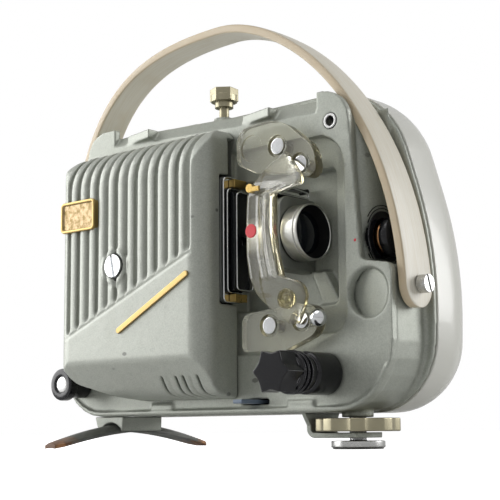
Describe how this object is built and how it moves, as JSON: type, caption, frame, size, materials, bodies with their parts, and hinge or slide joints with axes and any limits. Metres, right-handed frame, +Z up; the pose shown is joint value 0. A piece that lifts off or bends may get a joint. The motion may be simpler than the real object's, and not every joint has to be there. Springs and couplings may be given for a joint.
{
  "type": "movie projector",
  "caption": "Portable small-gauge film projector: die-cast case with lamphouse, carrying handle, film gate, focusing lens, knobs, belt drive and levelling foot.",
  "frame": {"origin": "on the table, in the middle of the front foot's pad", "axes": "+Z up, the lens points along -Y, the lamphouse is on the -X side"},
  "size_m": [0.1142, 0.2486, 0.2235],
  "materials": {
    "hammertone": "speckled hammertone enamel, satin",
    "lamphouse_paint": "speckled hammertone enamel, satin",
    "cream_enamel": "smooth glossy enamel",
    "handle_plastic": "ivory moulded plastic, satin, fine grooves",
    "clear_plastic": "clear plastic aged to a yellow olive",
    "red_paint": "bright red",
    "gilt": "polished gilt",
    "brass": "machined brass",
    "khaki_metal": "dull nickel worn to khaki",
    "chrome": "bright plating",
    "steel": "turned steel",
    "black_steel": "black semi-gloss",
    "grey_steel": "grey satin",
    "alloy": "turned alloy, satin",
    "cast_alloy": "cast alloy, matt",
    "black_plastic": "black moulded plastic",
    "brown_plastic": "brown insulating plastic",
    "copper": "copper-coloured collar",
    "lens_glass": "coated glass",
    "lamp_glass": "clear glass",
    "belt": "dark rubber",
    "motor_paint": "dark grey enamel",
    "laminations": "varnished iron and winding",
    "foot_paint": "grey enamel, worn brown at the tips",
    "lever_paint": "blue-grey"
  },
  "bodies": {
    "case": {"main_casting": "hammertone", "ear_bush": "steel", "drive_cover": "cream_enamel", "cover_pillars": "cast_alloy", "cover_screws": "chrome", "carry_handle": "handle_plastic", "handle_screws": "steel", "gate_bracket": "grey_steel", "gate_plate": "black_steel", "gate_frame": "chrome", "gate_blocks": "brass", "upper_guide": "clear_plastic", "centre_guide": "clear_plastic", "lower_guide": "clear_plastic", "guide_screws": "chrome", "marker_dot": "red_paint", "guide_hook": "brass", "lens_block": "cast_alloy", "lens_clip": "chrome", "control_switch": "brown_plastic", "rear_switch": "brown_plastic", "shaft_bearings": "brass", "drive_belt": "belt", "motor": "motor_paint", "motor_bracket": "grey_steel", "transformer": "laminations", "lamp": "lamp_glass", "lamp_base": "brass", "lamp_holder": "alloy", "reflector": "steel", "condenser": "lamp_glass", "condenser_ring": "grey_steel", "heat_shield": "alloy", "foot_bracket": "hammertone", "rear_foot_bracket": "hammertone", "rear_foot": "foot_paint"},
    "lamphouse": {"lamphouse_cover": "lamphouse_paint", "name_plate": "gilt", "trim_bar": "gilt"},
    "coin_screw": {"coin_screw": "chrome"},
    "thumb_screw": {"thumb_screw": "khaki_metal"},
    "pressure_plate": {"pressure_plate": "black_steel"},
    "lens": {"lens_barrel": "alloy", "front_glass": "lens_glass", "rear_glass": "lens_glass"},
    "control_knob": {"control_knob": "black_plastic"},
    "rear_knob": {"rear_knob": "black_plastic"},
    "frame_lever": {"frame_lever": "lever_paint"},
    "drive": {"inching_knob": "black_plastic", "inching_collar": "copper", "main_shaft": "steel", "shutter": "black_steel", "shaft_pulley": "alloy"},
    "rotor": {"motor_rotor": "steel", "cooling_fan": "alloy"},
    "foot_wheel": {"foot_wheel": "khaki_metal"},
    "foot_screw": {"foot_screw": "steel"}
  },
  "joints": [
    {"name": "lamphouse_lift_off", "type": "slide", "parent": "case", "child": "lamphouse", "axis": [-1, 0, 0], "range_m": [0, 0.04]},
    {"name": "coin_screw_turn", "type": "hinge", "parent": "lamphouse", "child": "coin_screw", "pos_m": [-0.041, 0.126, 0.095], "axis": [-1, 0, 0], "continuous": true},
    {"name": "thumb_screw_turn", "type": "hinge", "parent": "case", "child": "thumb_screw", "pos_m": [-0.003, 0.082, 0.18], "axis": [0, 0, 1], "continuous": true},
    {"name": "gate_open", "type": "slide", "parent": "case", "child": "pressure_plate", "axis": [0, -1, 0], "range_m": [0, 0.002], "stiffness_N_per_m": 200},
    {"name": "lens_focus", "type": "slide", "parent": "case", "child": "lens", "axis": [0, -1, 0], "range_m": [0, 0.006]},
    {"name": "control_knob_turn", "type": "hinge", "parent": "case", "child": "control_knob", "pos_m": [-0.03, 0.0065, 0.035], "axis": [-1, 0, 0], "range_deg": [-60, 60]},
    {"name": "rear_knob_turn", "type": "hinge", "parent": "case", "child": "rear_knob", "pos_m": [-0.025, 0.179, 0.035], "axis": [-1, 0, 0], "range_deg": [0, 270]},
    {"name": "frame_lever_slide", "type": "slide", "parent": "case", "child": "frame_lever", "axis": [0, 1, 0], "range_m": [-0.0055, 0.0055]},
    {"name": "drive_spin", "type": "hinge", "parent": "case", "child": "drive", "pos_m": [0.0025, 0, 0.099], "axis": [0, 1, 0], "continuous": true},
    {"name": "rotor_spin", "type": "hinge", "parent": "case", "child": "rotor", "pos_m": [0.027, 0.12, 0.05], "axis": [0, 1, 0], "continuous": true},
    {"name": "foot_wheel_turn", "type": "hinge", "parent": "case", "child": "foot_wheel", "pos_m": [0, 0, 0.011], "axis": [0, 0, 1], "range_deg": [-285, 2590]},
    {"name": "foot_screw_lift", "type": "slide", "parent": "case", "child": "foot_screw", "axis": [0, 0, -1], "range_m": [-0.001, 0.009]}
  ],
  "couplings": [
    {"joint": "drive_spin", "follows": "rotor_spin", "ratio": 0.36657},
    {"joint": "foot_screw_lift", "follows": "foot_wheel_turn", "m_per_rad": 0.00019894}
  ]
}
